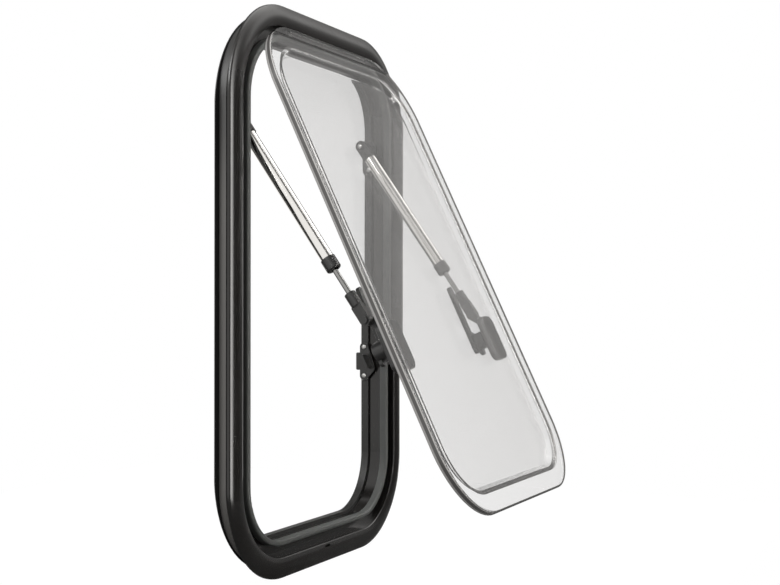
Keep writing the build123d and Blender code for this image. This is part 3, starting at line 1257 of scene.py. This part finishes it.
@dataclass(frozen=True)
class SoftLamp:
    """Soft square lamp that faces the middle of the window and isn't seen itself."""

    name: str
    place: Sequence[float]
    width: float
    power: float

    def build(self) -> None:
        """Hang the lamp in its place."""
        light = bpy.data.lights.new(self.name, "AREA")
        light.shape = "RECTANGLE"
        light.size = light.size_y = self.width
        light.energy = self.power
        lamp = add_object(self.name, light)
        lamp.location = self.place
        lamp.rotation_euler = (-Vector(self.place)).to_track_quat("-Z", "Y").to_euler()
        lamp.visible_camera = False
        lamp.visible_transmission = False


STUDIO_LAMPS = (
    SoftLamp("overhead_box", (0.4, -0.4, 2.2), 1.6, 12.0),
    SoftLamp("left_high", (-1.0, 0.25, 0.75), 0.4, 7.0),
)


@dataclass
class Stage:
    """Plain pale floor, white surroundings, soft lamps and the camera."""

    ambient: float = 0.10
    light_colour: Colour = (1.0, 0.985, 0.965)
    white: Colour = (1.0, 1.0, 1.0)
    floor_colour: Colour = (0.16, 0.16, 0.16)
    floor_glow: float = 1.15
    floor_glow_share: float = 0.86
    floor_gap: float = 1.0 * MM
    floor_low: Sequence[float] = (-0.60, -0.50)
    floor_high: Sequence[float] = (0.75, 0.80)
    camera_place: Sequence[float] = (-1.4796, -0.7969, -0.0121)
    camera_azimuth: float = -64.677
    camera_rise: float = 0.397
    picture_width: int = 780
    focal_pixels: float = 1290.0
    sensor: float = 36.0
    clip: tuple[float, float] = (0.05, 100.0)

    def seen(self, paint: Paint) -> Wire:
        """1 for what the eye sees, also through the sheets as long as nothing mirrors it on the way.

        Args:
            paint: the tree it is added to.

        Returns:
            The share that is shown white.
        """
        path = paint.node("ShaderNodeLightPath")
        mirrored = paint.ramp(paint.wire(path, "Glossy Depth"), 0.0, 1.0)
        through = paint.wire(path, "Is Transmission Ray") * (1.0 - mirrored)
        return paint.wire(path, "Is Camera Ray").at_least(through)

    def world(self) -> None:
        """White to the eye and through the sheets, and a soft studio for light and gloss."""
        world = bpy.data.worlds.new("studio")
        bpy.context.scene.world = world
        paint = Paint(world)
        direction = paint.wire(paint.node("ShaderNodeTexCoord"), "Generated")
        glow: Wire | float = self.ambient
        for panel in STUDIO_PANELS:
            glow = panel.glow(paint, direction) + glow
        seen = self.seen(paint)
        light = paint.node(
            "ShaderNodeBackground", None, {"Color": (*self.light_colour, 1.0), "Strength": glow}
        )
        white = paint.node("ShaderNodeBackground", None, {"Color": (*self.white, 1.0), "Strength": 1.0})
        mix = paint.node(
            "ShaderNodeMixShader", None, {"Fac": seen, 1: paint.wire(light), 2: paint.wire(white)}
        )
        paint.node("ShaderNodeOutputWorld", None, {"Surface": paint.wire(mix)})

    def floor(self) -> None:
        """Lay a pale floor just under the frame, white to the eye and with a faint shadow."""
        level = CAD_BOX[0].z - self.floor_gap
        left, near = self.floor_low
        right, far = self.floor_high
        mesh = bpy.data.meshes.new("floor")
        corners = [(left, near, level), (right, near, level), (right, far, level), (left, far, level)]
        mesh.from_pydata(corners, [], [(0, 1, 2, 3)])
        made = bpy.data.materials.new("floor_pale")
        paint = Paint(made)
        seen = self.seen(paint)
        board = paint.node("ShaderNodeBsdfDiffuse", None, {"Color": (*self.floor_colour, 1.0)})
        glow = paint.node(
            "ShaderNodeEmission", None, {"Color": (*self.white, 1.0), "Strength": self.floor_glow}
        )
        share = seen * self.floor_glow_share
        mix = paint.node(
            "ShaderNodeMixShader", None, {"Fac": share, 1: paint.wire(board), 2: paint.wire(glow)}
        )
        paint.finish(paint.wire(mix))
        mesh.materials.append(made)
        floor = add_object("floor", mesh)

    def camera(self) -> None:
        """Set the camera at the photograph's angle."""
        lens = bpy.data.cameras.new("camera")
        lens.sensor_fit = "HORIZONTAL"
        lens.sensor_width = self.sensor
        lens.lens = self.focal_pixels * self.sensor / self.picture_width
        lens.clip_start, lens.clip_end = self.clip
        camera = add_object("camera", lens)
        camera.location = self.camera_place
        camera.rotation_euler = (
            math.radians(90 + self.camera_rise),
            0.0,
            math.radians(self.camera_azimuth),
        )
        bpy.context.scene.camera = camera

    def build(self) -> None:
        """Set up the world, floor, lamps and camera."""
        bpy.context.scene.view_settings.view_transform = "Standard"
        self.world()
        self.floor()
        for lamp in STUDIO_LAMPS:
            lamp.build()
        self.camera()


def main() -> None:
    """Build every piece in order."""
    logging.basicConfig(level=logging.INFO, format="%(message)s")
    Stage().build()
    coat = FRAME_COAT.material()
    moulding = RING_MOULDING.material()
    plastic = FITTING_PLASTIC.material()
    rubber = SEAL_RUBBER.material()
    chrome = TUBE_CHROME.material()
    steel = ROD_STEEL.material()
    pane = PANE_ACRYLIC.material()
    strip = STRIP_ACRYLIC.material()
    for node, finish in (
        ("outer_frame", coat),
        ("hinge_rail", coat),
        ("clamp_ring", moulding),
        ("seal", rubber),
        ("hinge_strip", strip),
    ):
        dress(node, finish)
    for side in Side:
        for node, body in (
            ("latch_base", "sash"),
            ("lever", f"lever_{side.value}"),
            ("stay_bracket", "frame"),
            ("catch", "frame"),
            ("stay_head", f"stay_upper_{side.value}"),
            ("stay_cap", f"stay_upper_{side.value}"),
            ("stay_clevis", f"stay_lower_{side.value}"),
        ):
            EasedFitting(f"{node}_{side.value}", body).build(plastic)
        dress(f"stay_tube_{side.value}", chrome)
        dress(f"stay_rod_{side.value}", steel)
    Glazing(SashHinge.from_frame()).build(pane)
    spots = FrameScrews()
    ScrewRow().build("frame_screws", "frame", spots.fittings() + spots.rim(), SCREW_ZINC.material())


if __name__ == "__main__":
    main()
